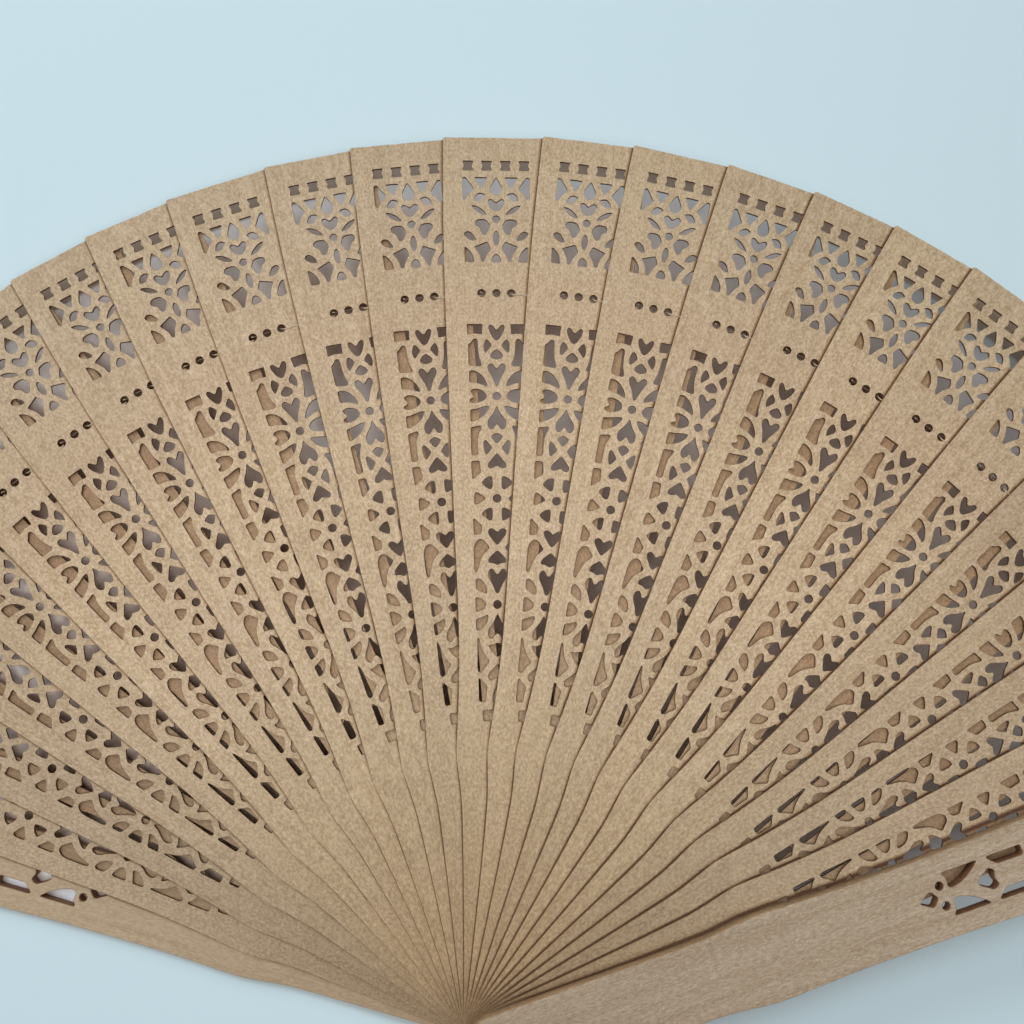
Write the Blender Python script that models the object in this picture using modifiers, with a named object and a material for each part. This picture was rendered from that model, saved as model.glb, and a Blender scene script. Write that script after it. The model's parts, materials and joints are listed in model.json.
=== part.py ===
"""A pierced wooden folding fan, open, lying on its back guard.

Metres, +Z up. Every stick turns about the rivet, whose axis is the Z axis. The origin is
the flat tail of the rivet, level with the back guard's underside. +Y runs up the middle of
the open fan, +X to the right, and each stick lies one step above the stick on its left.
"""

from math import cos, pi, radians, sin

import bmesh
import bpy

# The stack: the thread that ties the sticks runs in the gaps between them.
BLADE_THICKNESS = 0.0006
GUARD_THICKNESS = 0.0025
THREAD_THICKNESS = 0.00012
THREAD_WIDTH = 0.0003
THREAD_CLEARANCE = 0.00004
STICK_GAP = THREAD_THICKNESS + 2 * THREAD_CLEARANCE

# How far the fan opens, and where each stick stands in it, from back guard to front guard.
BACK_GUARD_TURN = radians(-73.6)
FAN_SPREAD = radians(146.2)
TURN_SHARES = (
    0.0, 0.040, 0.079, 0.123, 0.165, 0.206, 0.248, 0.290, 0.329, 0.370, 0.418, 0.459, 0.503,
    0.550, 0.593, 0.638, 0.680, 0.720, 0.760, 0.803, 0.845, 0.885, 0.923, 0.964, 1.0,
)

# Along a stick, measured from the rivet or from the part of the stick named.
RIM_RADIUS = 0.193
RIM_MARGIN = 0.0058
TOP_PANEL_HEIGHT = 0.0246
TOP_BAND = 0.0074
BOTTOM_BAND = 0.0072
NECK_AT = 0.044
SHOULDER_AT = 0.055
WAIST_AT = 0.072
FOOT_MARGIN = 0.0057
GUARD_FOOT_MARGIN = 0.0310
TOP_PANEL_TOP = RIM_RADIUS - RIM_MARGIN
TOP_PANEL_FOOT = TOP_PANEL_TOP - TOP_PANEL_HEIGHT
HOLE_ROW = TOP_PANEL_FOOT - TOP_BAND
LONG_PANEL_TOP = HOLE_ROW - BOTTOM_BAND
LONG_PANEL_FOOT = SHOULDER_AT + FOOT_MARGIN
GUARD_PANEL_FOOT = SHOULDER_AT + GUARD_FOOT_MARGIN

# Across a blade.
ROOT_RADIUS = 0.0071
NECK_WIDTH = 0.0152
SHOULDER_WIDTH = 0.0175
WAIST_WIDTH = 0.0164
HEAD_WIDTH = 0.0238
RIM_WIDTH = 0.0246
SIDE_MARGIN = 0.0046

# Across a guard.
GUARD_ROOT_RADIUS = 0.0070
GUARD_NECK_WIDTH = 0.0142
GUARD_SHOULDER_WIDTH = 0.0164
GUARD_WAIST_WIDTH = 0.0154
GUARD_HEAD_WIDTH = 0.0216
GUARD_RIM_WIDTH = 0.0226
GUARD_SIDE_MARGIN = 0.0038

# The three thread holes across each stick.
HOLE_RADIUS = 0.00095
HOLE_SPACING = 0.00335
HOLE_SIDES = 6
THREAD_LANE = 0.00035
THREAD_SLANT = 0.00035
THREAD_STATIONS = 4

# The rivet with its two washers. The tail and its washer sink into the back guard.
PIN_RADIUS = 0.0012
PIN_CLEARANCE = 0.0003
SEAT_GAP = 0.0002
HEAD_RADIUS = 0.0030
HEAD_HEIGHT = 0.0012
HEAD_RINGS = 4
TAIL_RADIUS = 0.0022
TAIL_THICKNESS = 0.0005
WASHER_RADIUS = 0.0036
WASHER_THICKNESS = 0.0004
BORE_RADIUS = PIN_RADIUS + PIN_CLEARANCE
RECESS_RADIUS = WASHER_RADIUS + PIN_CLEARANCE
RECESS_DEPTH = TAIL_THICKNESS + WASHER_THICKNESS + 2 * SEAT_GAP
BORE_SIDES = 6
ROOT_SIDES = 5
ROUND_SIDES = 16
CORNER_SHARE = 0.2
MERGE_DISTANCE = 0.000001

STICK_COUNT = len(TURN_SHARES)
BLADE_COUNT = STICK_COUNT - 2

# Openings as unit shapes: across from -1 to 1 with the stick's edge at 1, along from 0 to 1.
# Cut ends lean a little, as the saw leaves them, so no row of corners lies on one line.
SQUARE_SHARES = ((-1, 0.04), (1, 0), (1, 0.96), (-1, 1))
KITE_SHARES = ((0, 0), (1, 0.6), (0, 1), (-1, 0.6))
HEART_SHARES = ((0, 0), (1, 0.66), (0.6, 1), (0, 0.78), (-0.6, 1), (-1, 0.66))
WEDGE_SHARES = ((1, 0), (1, 1), (-1, 0.5))
VASE_SHARES = ((0, 0), (1, 0.77), (-0.73, 1), (-1, 0.62))
TALL_SHARES = ((-1, 0), (1, 0.03), (1, 0.8), (-0.4, 1))
WING_SHARES = ((0.67, 0), (1, 0.75), (0.2, 1), (-1, 0.73))
FIN_SHARES = ((0.6, 0), (1, 1), (-1, 0.32))
LEAF_SHARES = ((-0.8, 0.06), (1, 0), (1, 1), (-1, 0.36))
SLOT_SHARES = ((-1, 0.12), (1, 0), (1, 0.98), (-1, 1))
SPADE_SHARES = ((-0.6, 0), (0.6, 0.02), (1, 0.3), (0, 1), (-1, 0.32))
KIDNEY_SHARES = ((-0.1, 0), (1, 0.95), (-0.85, 1), (-1, 0.58))
RISING_LEAF_SHARES = ((-1, 0), (1, 0.27), (1, 1), (0.25, 0.95))
BROAD_LEAF_SHARES = ((-1, 0.21), (1, 0), (0.9, 1), (-0.95, 0.76))
FALLING_LEAF_SHARES = ((0.97, 0), (1, 0.76), (-1, 1), (-0.53, 0.43))
CORNER_SHARES = ((0.74, 0), (1, 1), (-0.74, 0.97), (-1, 0.36))
STUMP_SHARES = ((-0.64, 0), (0.85, 0.03), (1, 1), (-1, 0.67))
PETAL_SHARES = ((-0.8, 0), (1, 0.5), (-0.7, 1))

# Each opening: its shape, its middle and half width as shares of the panel's half width, and
# its foot and rise as shares of the panel's height. One off the middle is cut on both sides,
# and a negative half width turns the shape over.
TOP_PANEL_SHARES = (
    (SQUARE_SHARES, 0.83, 0.15, 0.905, 0.09),
    (SQUARE_SHARES, 0.28, 0.15, 0.91, 0.09),
    (WEDGE_SHARES, 0.84, 0.16, 0.61, 0.23),
    (HEART_SHARES, 0.0, 0.24, 0.50, 0.125),
    (KIDNEY_SHARES, 0.42, 0.226, 0.26, 0.154),
    (VASE_SHARES, 0.43, 0.22, 0.0, 0.20),
)
LONG_PANEL_SHARES = (
    (SQUARE_SHARES, 0.73, 0.26, 0.972, 0.028),
    (HEART_SHARES, 0.0, 0.26, 0.956, 0.042),
    (TALL_SHARES, 0.77, 0.23, 0.888, 0.071),
    (HEART_SHARES, 0.0, 0.32, 0.833, 0.061),
    (RISING_LEAF_SHARES, 0.65, 0.33, 0.832, 0.043),
    (BROAD_LEAF_SHARES, 0.68, 0.275, 0.789, 0.038),
    (FALLING_LEAF_SHARES, 0.62, 0.355, 0.74, 0.042),
    (SPADE_SHARES, 0.0, 0.345, 0.72, 0.063),
    (SQUARE_SHARES, 0.84, 0.13, 0.655, 0.074),
    (CORNER_SHARES, 0.81, 0.19, 0.592, 0.048),
    (HEART_SHARES, 0.0, 0.39, 0.427, 0.042),
    (WING_SHARES, 0.67, 0.33, 0.36, 0.083),
    (HEART_SHARES, 0.0, 0.41, 0.306, 0.062),
    (SPADE_SHARES, 0.0, 0.46, 0.195, 0.062),
    (FIN_SHARES, 0.70, 0.30, 0.116, 0.08),
    (STUMP_SHARES, 0.75, 0.235, 0.045, 0.056),
    (SQUARE_SHARES, 0.0, 0.78, 0.0, 0.026),
)
GUARD_END_SHARES = (
    (KITE_SHARES, 0.0, 0.38, 0.01, 0.06),
    (LEAF_SHARES, 0.60, 0.39, 0.112, 0.12),
    (HEART_SHARES, 0.0, 0.45, 0.206, 0.065),
    (SLOT_SHARES, 0.76, 0.22, 0.268, 0.113),
)
GUARD_MIDDLE_SHARES = (
    (PETAL_SHARES, 0.345, 0.195, 0.527, 0.042),
    (PETAL_SHARES, 0.58, -0.21, 0.48, 0.041),
    (PETAL_SHARES, 0.36, 0.2, 0.431, 0.043),
)


def material(name, colour, roughness, metallic=0.0):
    """A plain Principled material."""
    made = bpy.data.materials.new(name)
    made.use_nodes = True
    shader = made.node_tree.nodes["Principled BSDF"]
    shader.inputs["Base Color"].default_value = (*colour, 1.0)
    shader.inputs["Roughness"].default_value = roughness
    shader.inputs["Metallic"].default_value = metallic
    return made


def turn_of(index):
    """A stick's turn from +Y, clockwise seen from above."""
    return BACK_GUARD_TURN + FAN_SPREAD * TURN_SHARES[index]


def is_guard(index):
    return index in (0, STICK_COUNT - 1)


def thickness_of(index):
    return GUARD_THICKNESS if is_guard(index) else BLADE_THICKNESS


def underside_of(index):
    """How high a stick's underside lies: all the sticks and gaps below it."""
    if index == 0:
        return 0.0
    return GUARD_THICKNESS + STICK_GAP + (index - 1) * (BLADE_THICKNESS + STICK_GAP)


STACK_TOP = underside_of(STICK_COUNT - 1) + GUARD_THICKNESS


def circle_points(radius, sides, middle_x=0.0, middle_y=0.0):
    """A polygon round a circle."""
    turns = [2 * pi * (side + CORNER_SHARE) / sides for side in range(sides)]
    return [(middle_x + radius * cos(turn), middle_y + radius * sin(turn)) for turn in turns]


def half_width_table(guard):
    """The stick's half width at each named place along it."""
    if guard:
        widths = (GUARD_NECK_WIDTH, GUARD_SHOULDER_WIDTH, GUARD_WAIST_WIDTH)
        widths += (GUARD_HEAD_WIDTH, GUARD_RIM_WIDTH)
    else:
        widths = (NECK_WIDTH, SHOULDER_WIDTH, WAIST_WIDTH, HEAD_WIDTH, RIM_WIDTH)
    places = (NECK_AT, SHOULDER_AT, WAIST_AT, TOP_PANEL_FOOT, RIM_RADIUS)
    return [(place, width / 2) for place, width in zip(places, widths)]


def half_width_at(table, place):
    """The stick's half width anywhere between the named places."""
    for (low, low_half), (high, high_half) in zip(table, table[1:]):
        if place <= high:
            break
    share = (place - low) / (high - low)
    return low_half + (high_half - low_half) * share


def stick_outline(table, root_radius):
    """The outside of a stick: a round root about the rivet, then each side up to the rim."""
    right = [(half, place) for place, half in table]
    left = [(-half, place) for place, half in reversed(table)]
    turns = [pi + pi * side / ROOT_SIDES for side in range(ROOT_SIDES + 1)]
    root = [(root_radius * cos(turn), root_radius * sin(turn)) for turn in turns]
    return right + left + root


def panel_openings(rows, table, margin, foot, top, flipped=False):
    """The outlines of a panel's openings, in a field that keeps its margin to both edges."""
    foot_half = half_width_at(table, foot) - margin
    top_half = half_width_at(table, top) - margin
    openings = []
    for shape, middle, half, low, rise in rows:
        for side in (1, -1) if middle else (1,):
            points = []
            for across, along in shape:
                along_share = low + rise * along
                if flipped:
                    along_share = 1 - along_share
                field_half = foot_half + (top_half - foot_half) * along_share
                x = side * (middle + half * across) * field_half
                points.append((x, foot + (top - foot) * along_share))
            openings.append(points)
    return openings


def arc_place(radius, sideways):
    """A point on an arc round the rivet, a way along the arc from the stick's middle."""
    turn = sideways / radius
    return radius * sin(turn), radius * cos(turn)


def thread_holes():
    """The row of three round holes that the thread goes through."""
    places = (-HOLE_SPACING, 0.0, HOLE_SPACING)
    middles = [arc_place(HOLE_ROW, place) for place in places]
    return [circle_points(HOLE_RADIUS, HOLE_SIDES, *middle) for middle in middles]


def blade_splines():
    table = half_width_table(guard=False)
    splines = [stick_outline(table, ROOT_RADIUS), circle_points(BORE_RADIUS, BORE_SIDES)]
    splines += thread_holes()
    splines += panel_openings(
        TOP_PANEL_SHARES, table, SIDE_MARGIN, TOP_PANEL_FOOT, TOP_PANEL_TOP
    )
    splines += panel_openings(
        LONG_PANEL_SHARES, table, SIDE_MARGIN, LONG_PANEL_FOOT, LONG_PANEL_TOP
    )
    return splines


def guard_splines():
    """A guard's long panel has the same figures at both ends and petals in the middle."""
    table = half_width_table(guard=True)
    splines = [stick_outline(table, GUARD_ROOT_RADIUS), circle_points(BORE_RADIUS, BORE_SIDES)]
    splines += thread_holes()
    splines += panel_openings(
        TOP_PANEL_SHARES, table, GUARD_SIDE_MARGIN, TOP_PANEL_FOOT, TOP_PANEL_TOP
    )
    panel = (table, GUARD_SIDE_MARGIN, GUARD_PANEL_FOOT, LONG_PANEL_TOP)
    for flipped in (False, True):
        splines += panel_openings(GUARD_END_SHARES, *panel, flipped)
    splines += panel_openings(GUARD_MIDDLE_SHARES, *panel)
    return splines


def new_curve(name, dimensions, splines, cyclic):
    """A curve of straight runs through the given points."""
    curve = bpy.data.curves.new(name, "CURVE")
    curve.dimensions = dimensions
    for points in splines:
        spline = curve.splines.new("POLY")
        spline.points.add(len(points) - 1)
        for point, place in zip(spline.points, points):
            point.co = (*place, *[0.0] * (3 - len(place)), 1.0)
        spline.use_cyclic_u = cyclic
    return curve


def add_object(name, data, collection, surface):
    made = bpy.data.objects.new(name, data)
    made.data.materials.append(surface)
    collection.objects.link(made)
    return made


def flat_piece(name, splines, thickness, collection, surface):
    """A flat piece with its outline and its openings, thick about its own plane."""
    curve = new_curve(name, "2D", splines, cyclic=True)
    curve.fill_mode = "BOTH"
    curve.extrude = thickness / 2
    return add_object(name, curve, collection, surface)


def lay_stick(stick, index):
    stick.location = (0.0, 0.0, underside_of(index) + thickness_of(index) / 2)
    stick.rotation_euler = (0.0, 0.0, -turn_of(index))


def as_mesh(piece):
    """The same piece as a mesh, so that it can be cut."""
    bpy.context.view_layer.update()
    graph = bpy.context.evaluated_depsgraph_get()
    mesh = bpy.data.meshes.new_from_object(piece.evaluated_get(graph))
    shape = bmesh.new()
    shape.from_mesh(mesh)
    bmesh.ops.remove_doubles(shape, verts=shape.verts, dist=MERGE_DISTANCE)
    shape.to_mesh(mesh)
    shape.free()
    name = piece.name
    home = piece.users_collection[0]
    made = bpy.data.objects.new(name, mesh)
    made.matrix_world = piece.matrix_world.copy()
    home.objects.link(made)
    bpy.data.objects.remove(piece)
    made.name = name
    return made


def sink_recess(guard, cutters):
    """The round recess in the back guard's underside that takes the rivet's tail."""
    shape = bmesh.new()
    bmesh.ops.create_cone(
        shape, cap_ends=True, segments=ROUND_SIDES, radius1=RECESS_RADIUS,
        radius2=RECESS_RADIUS, depth=2 * RECESS_DEPTH,
    )
    mesh = bpy.data.meshes.new("recess_cutter")
    shape.to_mesh(mesh)
    shape.free()
    cutter = bpy.data.objects.new("recess_cutter", mesh)
    cutter.hide_render = True
    cutter.display_type = "WIRE"
    cutters.objects.link(cutter)
    cut = guard.modifiers.new("recess", "BOOLEAN")
    cut.operation = "DIFFERENCE"
    cut.object = cutter


def turned_piece(name, profile, collection, surface):
    """A piece turned about the Z axis from a profile that runs down its outer side."""
    shape = bmesh.new()
    corners = [shape.verts.new((radius, 0.0, height)) for radius, height in profile]
    for upper, lower in zip(corners, corners[1:]):
        shape.edges.new((upper, lower))
    mesh = bpy.data.meshes.new(name)
    shape.to_mesh(mesh)
    shape.free()
    made = add_object(name, mesh, collection, surface)
    screw = made.modifiers.new("turn", "SCREW")
    screw.steps = ROUND_SIDES
    screw.render_steps = ROUND_SIDES
    screw.use_merge_vertices = True
    screw.merge_threshold = MERGE_DISTANCE
    screw.use_smooth_shade = False
    return made


def make_rivet(collection, surface):
    """The pin with its domed head above and its flat tail below."""
    seat = STACK_TOP + WASHER_THICKNESS + 2 * SEAT_GAP
    turns = [pi / 2 * ring / HEAD_RINGS for ring in range(HEAD_RINGS + 1)]
    profile = [(HEAD_RADIUS * sin(turn), seat + HEAD_HEIGHT * cos(turn)) for turn in turns]
    profile[0] = (0.0, seat + HEAD_HEIGHT)
    profile[-1] = (HEAD_RADIUS, seat)
    profile += [(PIN_RADIUS, seat), (PIN_RADIUS, TAIL_THICKNESS)]
    profile += [(TAIL_RADIUS, TAIL_THICKNESS), (TAIL_RADIUS, 0.0), (0.0, 0.0)]
    return turned_piece("rivet", profile, collection, surface)


def make_washer(name, underside, collection, surface):
    splines = [circle_points(WASHER_RADIUS, ROUND_SIDES), circle_points(BORE_RADIUS, BORE_SIDES)]
    washer = flat_piece(name, splines, WASHER_THICKNESS, collection, surface)
    washer.location.z = underside + WASHER_THICKNESS / 2
    return washer


def arc_point(radius, sideways, height):
    """One point over an arc round the rivet."""
    return (*arc_place(radius, sideways), height)


def arc_points(radius, start, end, height, stations):
    """Points along an arc round the rivet, from one sideways place to another."""
    points = []
    for station in range(stations):
        sideways = start + (end - start) * station / (stations - 1)
        points.append(arc_point(radius, sideways, height))
    return points


def thread_route(index):
    """One stretch of thread, in its stick's own frame.

    It comes out of the first hole, runs behind the stick to the third, slants up through it
    and lies on the stick's face as far as the next stick's first hole. The first stretch
    starts inside the back guard.
    """
    back = -(thickness_of(index) / 2 + STICK_GAP / 2)
    outer = HOLE_ROW + THREAD_LANE
    inner = HOLE_ROW - THREAD_LANE
    step = turn_of(index + 1) - turn_of(index)
    reach = inner * step - HOLE_SPACING
    into = HOLE_SPACING - THREAD_SLANT
    out = HOLE_SPACING + THREAD_SLANT
    front = arc_points(inner, out, reach, -back, THREAD_STATIONS)
    if index == 0:
        return [arc_point(outer, into, 0.0)] + front
    behind = arc_points(outer, -into, into, back, THREAD_STATIONS)
    return [arc_point(outer, -out, 0.0)] + behind + front


def make_thread(index, section, collection, surface):
    name = f"thread_{index:02d}"
    curve = new_curve(name, "3D", [thread_route(index)], cyclic=False)
    curve.twist_mode = "Z_UP"
    curve.bevel_mode = "OBJECT"
    curve.bevel_object = section
    curve.use_fill_caps = True
    return add_object(name, curve, collection, surface)


def make_section(cutters):
    """The thread's flat section, swept along each stretch."""
    half_width = THREAD_WIDTH / 2
    half_height = THREAD_THICKNESS / 2
    sides = ((-1, -1), (-1, 1), (1, 1), (1, -1))
    corners = [(across * half_width, up * half_height) for across, up in sides]
    curve = new_curve("thread_section", "2D", [corners], cyclic=True)
    curve.fill_mode = "NONE"
    section = bpy.data.objects.new("thread_section", curve)
    section.hide_render = True
    cutters.objects.link(section)
    return section


def clear_scene():
    for piece in list(bpy.data.objects):
        bpy.data.objects.remove(piece)


def new_collection(name):
    made = bpy.data.collections.new(name)
    bpy.context.scene.collection.children.link(made)
    return made


def main():
    clear_scene()
    fan = new_collection("folding_fan")
    cutters = new_collection("cutters")
    blade_wood = material("blade_wood", (0.52, 0.38, 0.24), 0.62)
    guard_wood = material("guard_wood", (0.47, 0.35, 0.24), 0.58)
    thread_nylon = material("thread_nylon", (0.66, 0.55, 0.40), 0.45)
    rivet_brass = material("rivet_brass", (0.72, 0.52, 0.24), 0.30, 1.0)

    back = flat_piece("guard_back", guard_splines(), GUARD_THICKNESS, fan, guard_wood)
    lay_stick(back, 0)
    back = as_mesh(back)
    sink_recess(back, cutters)
    for index in range(1, BLADE_COUNT + 1):
        blade = flat_piece(f"blade_{index:02d}", blade_splines(), BLADE_THICKNESS, fan, blade_wood)
        lay_stick(blade, index)
    front = flat_piece("guard_front", guard_splines(), GUARD_THICKNESS, fan, guard_wood)
    lay_stick(front, STICK_COUNT - 1)

    section = make_section(cutters)
    for index in range(STICK_COUNT - 1):
        thread = make_thread(index, section, fan, thread_nylon)
        lay_stick(thread, index)

    make_rivet(fan, rivet_brass)
    make_washer("washer_front", STACK_TOP + SEAT_GAP, fan, rivet_brass)
    make_washer("washer_back", TAIL_THICKNESS + SEAT_GAP, fan, rivet_brass)


main()
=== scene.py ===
"""The pierced wooden folding fan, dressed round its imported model.

Metres, +Z up. Every stick turns about the rivet, whose axis is the Z axis; +Y runs up the
middle of the open fan. The tables of openings and widths are in millimetres, in a stick's
own frame: across from its middle line, and up from the rivet.
"""

import json
from math import atan2, cos, pi, radians, sin
from random import Random

import bmesh
import bpy
from mathutils import Matrix, Vector


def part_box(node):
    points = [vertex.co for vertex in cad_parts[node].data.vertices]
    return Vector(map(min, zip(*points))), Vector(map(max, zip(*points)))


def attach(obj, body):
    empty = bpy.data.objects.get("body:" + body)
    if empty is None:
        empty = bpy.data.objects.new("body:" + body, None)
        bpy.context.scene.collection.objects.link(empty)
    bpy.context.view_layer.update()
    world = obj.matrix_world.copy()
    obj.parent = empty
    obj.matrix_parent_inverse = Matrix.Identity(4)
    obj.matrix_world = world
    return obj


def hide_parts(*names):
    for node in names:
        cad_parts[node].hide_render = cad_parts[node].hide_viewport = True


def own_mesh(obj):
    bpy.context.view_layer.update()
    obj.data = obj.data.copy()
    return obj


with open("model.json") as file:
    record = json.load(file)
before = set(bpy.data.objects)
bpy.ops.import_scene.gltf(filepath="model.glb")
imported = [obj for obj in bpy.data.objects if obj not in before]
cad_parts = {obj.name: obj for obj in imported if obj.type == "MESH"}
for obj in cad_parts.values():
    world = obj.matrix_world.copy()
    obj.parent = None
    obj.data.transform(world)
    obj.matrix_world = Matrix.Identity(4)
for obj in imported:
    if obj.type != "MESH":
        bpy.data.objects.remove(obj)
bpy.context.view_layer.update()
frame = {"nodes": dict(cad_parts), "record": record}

MM = 0.001

# The camera, found from the places of the pierced holes in the photograph.
CAMERA_PLACE = (-0.0037, 0.0768, 0.2063)
CAMERA_TILT = (radians(8.32), radians(-1.97), radians(-0.28))
PICTURE_SIDE = 1024
FOCAL_PIXELS = 900
FILM_WIDTH = 36.0
NEAREST_SEEN = 0.001

# A stick's three thread holes and its bore, in millimetres.
HOLE_ROW = 155.2
HOLE_RADIUS = 0.95
HOLE_SPACING = 3.35
BORE_RADIUS = 1.5
ROUND_STEPS = 18

# How far the saw rounds a corner of an opening, in millimetres and as the most of a side that
# one corner may take, and how the edges of a stick are eased.
CORNER_CUT = 0.42
CRISP_CUT = 0.22
CORNER_SHARE = 0.46
ARC_STEPS = 3
BLADE_EDGE = 0.05
GUARD_EDGE = 0.16

# In metres, points this near are one. In millimetres, the far corners of a solid differ in
# their distance from the rivet by less than the slack.
MERGE = 0.000002
CORNER_SLACK = 0.1

# A point is on a stick's outer edge past these: the root's radius, the depth below the rim,
# and the share of the half width.
ROOT_PAST = 5.0
RIM_DEPTH = 1.5
SIDE_SHARE = 0.8

# The thread's lane in the gap between two sticks, and its flattened section.
GAP = 0.2
LANE = 0.35
SLANT = 0.35
THREAD_WIDTH = 0.3
THREAD_HEIGHT = 0.12
SECTION_SIDES = 8
FACE_STEPS = 9
BACK_STEPS = 7

# The rivet and its washers.
HEAD_HEIGHT = 1.2
HEAD_RIM = 0.22
HEAD_STEPS = 8
PIN_RADIUS = 1.2
TAIL_RADIUS = 2.2
TAIL_THICKNESS = 0.5
WASHER_EASE = 0.08
TURN_STEPS = 48

# Colours as seen on a screen. Up a stick the wood is browner and darker near the rivet, and a
# little darker at the rim.
SCREEN_GAMMA = 2.2
RAMP_LENGTH = 200.0
BLADE_COLOURS = (
    (0, (150, 124, 92)), (20, (160, 135, 104)), (40, (172, 149, 119)), (60, (183, 160, 131)),
    (95, (195, 171, 143)), (125, (195, 171, 142)), (150, (186, 162, 135)), (178, (182, 161, 134)),
    (200, (173, 152, 125)),
)
GUARD_BACK_COLOURS = (
    (0, (150, 128, 102)), (60, (168, 148, 123)), (120, (174, 154, 129)), (200, (172, 152, 127)),
)
GUARD_FRONT_COLOURS = (
    (0, (150, 132, 112)), (60, (160, 142, 122)), (120, (165, 147, 127)), (200, (161, 144, 124)),
)

# The walls, partly their own sawn colour and partly painted shade: inside a blade's openings,
# along its outer edge, and the same for a guard.
WALL = (104, 72, 50)
BLADE_EDGE_WALL = (134, 104, 74)
GUARD_WALL = (122, 86, 62)
GUARD_EDGE_WALL = (160, 132, 102)

# A surface is a wall where its normal rises less than the first of these, and a face where it
# rises more than the second.
FACE_RISE = (0.25, 0.8)

# Where the next stick lies over a stick, the wood is browner, and that tone reaches a little past
# the next stick's edge as a painted shadow. Beside the edge are a soft painted shadow and a thin
# line of painted contact shade. Each has its tone, the distances past the edge in millimetres
# between which it comes in, and those up the stick. The two shadows beside the edge end between
# the distances of the last pair.
COVERED_AND_SHADOW_TONE = (205, 188, 172)
COVERED_AND_SHADOW_EDGE = (-0.9, 0.4)
EDGE_SHADOW_TONE = (208, 192, 172)
EDGE_SHADOW_EDGE = (-0.8, -0.3)
EDGE_SHADOW_REACH = (10, 105)
CONTACT_SHADE_TONE = (160, 128, 98)
CONTACT_SHADE_EDGE = (-0.36, -0.08)
CONTACT_SHADE_REACH = (0, 10)
EDGE_SHADOW_END = (0.3, 0.7)
WIDEST = 15.0
NOTHING_BESIDE = Vector((-100.0, 0.0, 0.0))

# The wood's pattern. Each grain is how many of its features a millimetre holds across the
# stick, up it and through it. The pattern jumps from stick to stick, so that no two are alike.
PATCH_GRAIN = (0.5, 0.28, 0.6)
LINE_GRAIN = (4.5, 0.2, 1.0)
BAND_GRAIN = (0.75, 0.02, 0.4)
FLECK_STEP = (0.6, 0.72)
SPECKLE_FINENESS = 0.6
DARK_GRAIN_TONE = (255, 246, 234)
DARK_GRAIN = (-0.16, 0.14)
JUMPS = (-900, 900)
SEED = 7

# The blades at the sides of the fan are painted darker, as painted shade for the light that falls
# off there: from the first turn away from the middle to the second. Every stick also differs a
# little from the rest.
SIDE_TURNS = (radians(38), radians(66))
SIDE_PAINTED_SHADE = 0.24
TONE_SPREAD = 0.03

WOOD_ROUGHNESS = 0.62
WOOD_ROUGHNESS_SPREAD = 0.2
WOOD_BUMP = 0.3
WOOD_RELIEF = 0.00005

BRASS = (206, 174, 116)
BRASS_TARNISH = (160, 128, 84)
BRASS_ROUGHNESS = 0.2
TARNISH_ROUGHNESS = 0.3
TARNISH_GRAIN = (0.9, 0.9, 0.9)
LATHE_RINGS = 2.4
LATHE_BUMP = 0.2
LATHE_RELIEF = 0.00002

# The thread's two plies, painted dark as shade behind the sticks, and plain on their faces.
NYLON_SHADED_BEHIND = ((88, 68, 48), (106, 84, 60))
NYLON_ON_FACE = ((172, 151, 124), (190, 169, 142))
NYLON_ROUGHNESS = 0.5
PLY_BANDS = 1.6
PLY_BUMP = 0.4
PLY_RELIEF = 0.00003

# The paper as it is seen, and the colour of the light that it throws back on the fan.
PAPER = (206, 229, 241)
PAPER_BOUNCE = (225, 205, 185)
PAPER_ROUGHNESS = 0.8
CLOUD_GRAIN = (9.0, 9.0, 9.0)
CLOUD_DEPTH = 0.02

# Light and shade painted on the paper, and its hue, by how much open sky is over it. Under the
# fan the light has come through thin wood and off it, so it is warm. The painted shade is darkest
# deep between the sticks, and painted shadows lie where the rim's shadow falls and under the
# thread holes. Those two keep to a ring round the rivet, whose reach is the distances where it
# starts, is full, begins to end and has ended. The rings are thrown back a little, more to the
# right where the sticks lie higher, and they keep to the blades' side of the guards. Far from the
# fan, past the lamps' reach, the paper fades to its plain colour.
SKY_REACH = 0.06
SKY_RAYS = 32
PAPER_SHADE = (
    (0.0, (0.50, 0.28, 0.17)), (0.07, (0.52, 0.29, 0.19)), (0.12, (1.36, 0.80, 0.62)),
    (0.16, (1.42, 0.96, 0.79)), (0.22, (1.30, 1.02, 0.92)), (0.32, (1.40, 1.13, 1.12)),
    (0.40, (1.18, 0.98, 0.95)), (0.48, (0.98, 0.86, 0.84)), (0.56, (0.84, 0.76, 0.74)),
    (0.72, (0.74, 0.67, 0.64)), (0.80, (1.0, 1.0, 1.0)),
)
RIM_SHADE = (
    (0.38, (0.46, 0.29, 0.21)), (0.49, (0.41, 0.27, 0.20)), (0.56, (0.60, 0.42, 0.35)),
    (0.65, (0.36, 0.21, 0.14)), (0.76, (0.27, 0.14, 0.09)), (0.84, (1.0, 1.0, 1.0)),
)
RIM_SHADE_REACH = (0.1828, 0.1840, 0.1912, 0.1925)
HOLE_SHADE = ((0.0, (0.42, 0.21, 0.14)), (0.40, (0.42, 0.21, 0.14)), (0.55, (1.0, 1.0, 1.0)))
HOLE_SHADE_REACH = (0.1528, 0.1540, 0.1566, 0.1578)
SHADE_THROW = 0.007
SHADE_THROW_RISE = 0.032
AHEAD_OF_GUARDS = (0.095, 0.110)
PAPER_FADE = (0.33, 0.78)

FLOOR_HALF = 3.0
FLOOR_HEIGHT = -0.0002

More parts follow.
